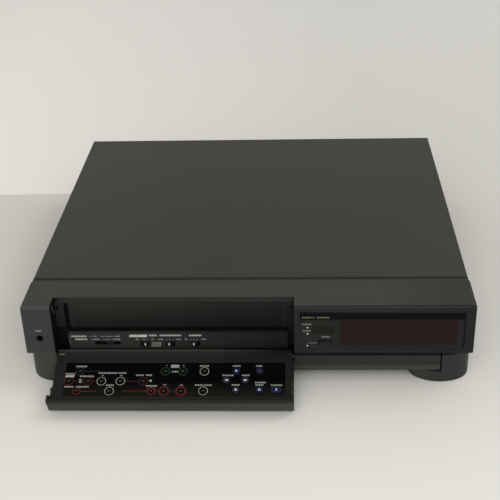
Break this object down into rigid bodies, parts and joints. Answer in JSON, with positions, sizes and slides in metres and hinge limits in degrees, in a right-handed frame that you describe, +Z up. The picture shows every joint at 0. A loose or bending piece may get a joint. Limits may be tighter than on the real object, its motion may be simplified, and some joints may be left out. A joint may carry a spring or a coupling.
{
  "type": "video cassette recorder",
  "caption": "Front-loading video cassette recorder with a drop-down control flap, cassette slot with a sprung door, smoked display window and oval front feet.",
  "frame": {"origin": "centre of the bounding box's bottom face with the flap open as pictured, on the table", "axes": "+X to the right seen from the front, +Y from the front panel to the rear, +Z up"},
  "size_m": [0.43, 0.4634, 0.086],
  "materials": {
    "panel": "fine matt moulding",
    "cover": "satin dark grey paint",
    "zinc_sheet": "dull grey",
    "rubber": "matt",
    "screw": "black oxide",
    "frame": "matt",
    "window": "clear smoked, glossy",
    "filter": "clear red, glossy",
    "tube_glass": "clear",
    "black_plastic": "matt",
    "control_plate": "glossy black",
    "board": "satin",
    "steel": "plated",
    "drum": "turned",
    "core": "varnished",
    "socket_plastic": "plain",
    "tape_key": "translucent blue-violet",
    "dark_key": "satin black"
  },
  "bodies": {
    "casing": {"front_panel": "panel", "lower_rail": "panel", "top_cover": "cover", "base_plate": "zinc_sheet", "rear_panel": "zinc_sheet", "rear_feet": "rubber", "cover_screws": "screw", "slot_frame": "frame", "display_window": "window", "display_filter": "filter", "display_tube": "tube_glass", "mic_socket": "black_plastic", "deck_plate": "steel", "deck_posts": "steel", "lower_drum": "drum", "carriage_frame": "steel", "main_board": "board", "power_transformer": "core", "mains_inlet": "black_plastic", "aerial_sockets": "steel", "phono_sockets": "socket_plastic"},
    "control_flap": {"flap": "panel", "flap_inner_cover": "frame", "control_plate": "control_plate", "flap_board": "board"},
    "slot_door": {"cassette_door": "frame"},
    "level_knob": {"level_slider": "black_plastic"},
    "tape_knob": {"tape_switch": "black_plastic"},
    "edit_knob": {"edit_switch": "black_plastic"},
    "system_knob": {"system_switch": "black_plastic"},
    "operate": {"operate_button": "panel"},
    "drum_rotor": {"upper_drum": "drum"},
    "capstan_rotor": {"capstan": "steel"},
    "pinch_lever": {"pinch_arm": "rubber"},
    "reel_left": {"reel_table_left": "black_plastic"},
    "reel_right": {"reel_table_right": "black_plastic"},
    "carriage": {"carriage_slider": "steel"},
    "cradle": {"cassette_cradle": "steel"},
    "clock": {"clock_key": "dark_key"},
    "program": {"program_key": "dark_key"},
    "date": {"date_key": "dark_key"},
    "timer": {"timer_key": "dark_key"},
    "tracking_down": {"tracking_down_key": "dark_key"},
    "tracking_up": {"tracking_up_key": "dark_key"},
    "tracking_auto": {"tracking_auto_key": "dark_key"},
    "index": {"index_key": "dark_key"},
    "memory": {"memory_key": "dark_key"},
    "channel_down": {"channel_down_key": "dark_key"},
    "channel_up": {"channel_up_key": "dark_key"},
    "minus": {"minus_key": "dark_key"},
    "plus": {"plus_key": "dark_key"},
    "input": {"input_key": "dark_key"},
    "counter": {"counter_key": "dark_key"},
    "rewind": {"rewind_key": "tape_key"},
    "play": {"play_key": "tape_key"},
    "forward": {"forward_key": "tape_key"},
    "stop": {"stop_key": "tape_key"},
    "record": {"record_key": "tape_key"},
    "pause": {"pause_key": "tape_key"},
    "eject": {"eject_key": "tape_key"}
  },
  "joints": [
    {"name": "flap_hinge", "type": "hinge", "parent": "casing", "child": "control_flap", "pos_m": [0, -0.17238, 0.0279], "axis": [-1, 0, 0], "range_deg": [0, 114]},
    {"name": "slot_door_hinge", "type": "hinge", "parent": "casing", "child": "slot_door", "pos_m": [-0.0672, -0.15498, 0.0782], "axis": [1, 0, 0], "range_deg": [0, 84], "stiffness_Nm_per_rad": 0.004, "springref_deg": -22.92},
    {"name": "level_slide", "type": "slide", "parent": "casing", "child": "level_knob", "axis": [1, 0, 0], "range_m": [-0.0113, 0.0073]},
    {"name": "tape_slide", "type": "slide", "parent": "casing", "child": "tape_knob", "axis": [1, 0, 0], "range_m": [-0.0007, 0.0033]},
    {"name": "edit_slide", "type": "slide", "parent": "casing", "child": "edit_knob", "axis": [1, 0, 0], "range_m": [-0.002, 0.002]},
    {"name": "system_slide", "type": "slide", "parent": "casing", "child": "system_knob", "axis": [1, 0, 0], "range_m": [0, 0.0038]},
    {"name": "operate_press", "type": "slide", "parent": "casing", "child": "operate", "axis": [0, 1, 0], "range_m": [0, 0.0006], "stiffness_N_per_m": 400, "springref_m": -0.001},
    {"name": "clock_press", "type": "slide", "parent": "control_flap", "child": "clock", "axis": [0, 0.4067, -0.9135], "range_m": [0, 0.0008], "stiffness_N_per_m": 300, "springref_m": -0.001},
    {"name": "program_press", "type": "slide", "parent": "control_flap", "child": "program", "axis": [0, 0.4067, -0.9135], "range_m": [0, 0.0008], "stiffness_N_per_m": 300, "springref_m": -0.001},
    {"name": "date_press", "type": "slide", "parent": "control_flap", "child": "date", "axis": [0, 0.4067, -0.9135], "range_m": [0, 0.0008], "stiffness_N_per_m": 300, "springref_m": -0.001},
    {"name": "timer_press", "type": "slide", "parent": "control_flap", "child": "timer", "axis": [0, 0.4067, -0.9135], "range_m": [0, 0.0008], "stiffness_N_per_m": 300, "springref_m": -0.001},
    {"name": "tracking_down_press", "type": "slide", "parent": "control_flap", "child": "tracking_down", "axis": [0, 0.4067, -0.9135], "range_m": [0, 0.0008], "stiffness_N_per_m": 300, "springref_m": -0.001},
    {"name": "tracking_up_press", "type": "slide", "parent": "control_flap", "child": "tracking_up", "axis": [0, 0.4067, -0.9135], "range_m": [0, 0.0008], "stiffness_N_per_m": 300, "springref_m": -0.001},
    {"name": "tracking_auto_press", "type": "slide", "parent": "control_flap", "child": "tracking_auto", "axis": [0, 0.4067, -0.9135], "range_m": [0, 0.0008], "stiffness_N_per_m": 300, "springref_m": -0.001},
    {"name": "index_press", "type": "slide", "parent": "control_flap", "child": "index", "axis": [0, 0.4067, -0.9135], "range_m": [0, 0.0008], "stiffness_N_per_m": 300, "springref_m": -0.001},
    {"name": "memory_press", "type": "slide", "parent": "control_flap", "child": "memory", "axis": [0, 0.4067, -0.9135], "range_m": [0, 0.0008], "stiffness_N_per_m": 300, "springref_m": -0.001},
    {"name": "channel_down_press", "type": "slide", "parent": "control_flap", "child": "channel_down", "axis": [0, 0.4067, -0.9135], "range_m": [0, 0.0008], "stiffness_N_per_m": 300, "springref_m": -0.001},
    {"name": "channel_up_press", "type": "slide", "parent": "control_flap", "child": "channel_up", "axis": [0, 0.4067, -0.9135], "range_m": [0, 0.0008], "stiffness_N_per_m": 300, "springref_m": -0.001},
    {"name": "minus_press", "type": "slide", "parent": "control_flap", "child": "minus", "axis": [0, 0.4067, -0.9135], "range_m": [0, 0.0008], "stiffness_N_per_m": 300, "springref_m": -0.001},
    {"name": "plus_press", "type": "slide", "parent": "control_flap", "child": "plus", "axis": [0, 0.4067, -0.9135], "range_m": [0, 0.0008], "stiffness_N_per_m": 300, "springref_m": -0.001},
    {"name": "input_press", "type": "slide", "parent": "control_flap", "child": "input", "axis": [0, 0.4067, -0.9135], "range_m": [0, 0.0008], "stiffness_N_per_m": 300, "springref_m": -0.001},
    {"name": "counter_press", "type": "slide", "parent": "control_flap", "child": "counter", "axis": [0, 0.4067, -0.9135], "range_m": [0, 0.0008], "stiffness_N_per_m": 300, "springref_m": -0.001},
    {"name": "rewind_press", "type": "slide", "parent": "control_flap", "child": "rewind", "axis": [0, 0.4067, -0.9135], "range_m": [0, 0.0008], "stiffness_N_per_m": 300, "springref_m": -0.001},
    {"name": "play_press", "type": "slide", "parent": "control_flap", "child": "play", "axis": [0, 0.4067, -0.9135], "range_m": [0, 0.0008], "stiffness_N_per_m": 300, "springref_m": -0.001},
    {"name": "forward_press", "type": "slide", "parent": "control_flap", "child": "forward", "axis": [0, 0.4067, -0.9135], "range_m": [0, 0.0008], "stiffness_N_per_m": 300, "springref_m": -0.001},
    {"name": "stop_press", "type": "slide", "parent": "control_flap", "child": "stop", "axis": [0, 0.4067, -0.9135], "range_m": [0, 0.0008], "stiffness_N_per_m": 300, "springref_m": -0.001},
    {"name": "record_press", "type": "slide", "parent": "control_flap", "child": "record", "axis": [0, 0.4067, -0.9135], "range_m": [0, 0.0008], "stiffness_N_per_m": 300, "springref_m": -0.001},
    {"name": "pause_press", "type": "slide", "parent": "control_flap", "child": "pause", "axis": [0, 0.4067, -0.9135], "range_m": [0, 0.0008], "stiffness_N_per_m": 300, "springref_m": -0.001},
    {"name": "eject_press", "type": "slide", "parent": "control_flap", "child": "eject", "axis": [0, 0.4067, -0.9135], "range_m": [0, 0.0008], "stiffness_N_per_m": 300, "springref_m": -0.001},
    {"name": "drum_spin", "type": "hinge", "parent": "casing", "child": "drum_rotor", "pos_m": [-0.0752, 0.05162, 0.0325], "axis": [0, -0.1045, 0.9945], "continuous": true},
    {"name": "capstan_spin", "type": "hinge", "parent": "casing", "child": "capstan_rotor", "pos_m": [-0.0092, 0.02062, 0.02], "axis": [0, 0, 1], "continuous": true},
    {"name": "pinch_swing", "type": "hinge", "parent": "casing", "child": "pinch_lever", "pos_m": [0.014, 0.04122, 0.04], "axis": [0, 0, 1], "range_deg": [0, 25], "stiffness_Nm_per_rad": 0.05, "springref_deg": -11.46},
    {"name": "reel_left_spin", "type": "hinge", "parent": "casing", "child": "reel_left", "pos_m": [-0.11345, -0.04388, 0.03], "axis": [0, 0, 1], "continuous": true},
    {"name": "reel_right_spin", "type": "hinge", "parent": "casing", "child": "reel_right", "pos_m": [-0.02095, -0.04388, 0.03], "axis": [0, 0, 1], "continuous": true},
    {"name": "carriage_slide", "type": "slide", "parent": "casing", "child": "carriage", "axis": [0, 1, 0], "range_m": [0, 0.03]},
    {"name": "cradle_lower", "type": "slide", "parent": "carriage", "child": "cradle", "axis": [0, 0, -1], "range_m": [0, 0.019]}
  ]
}
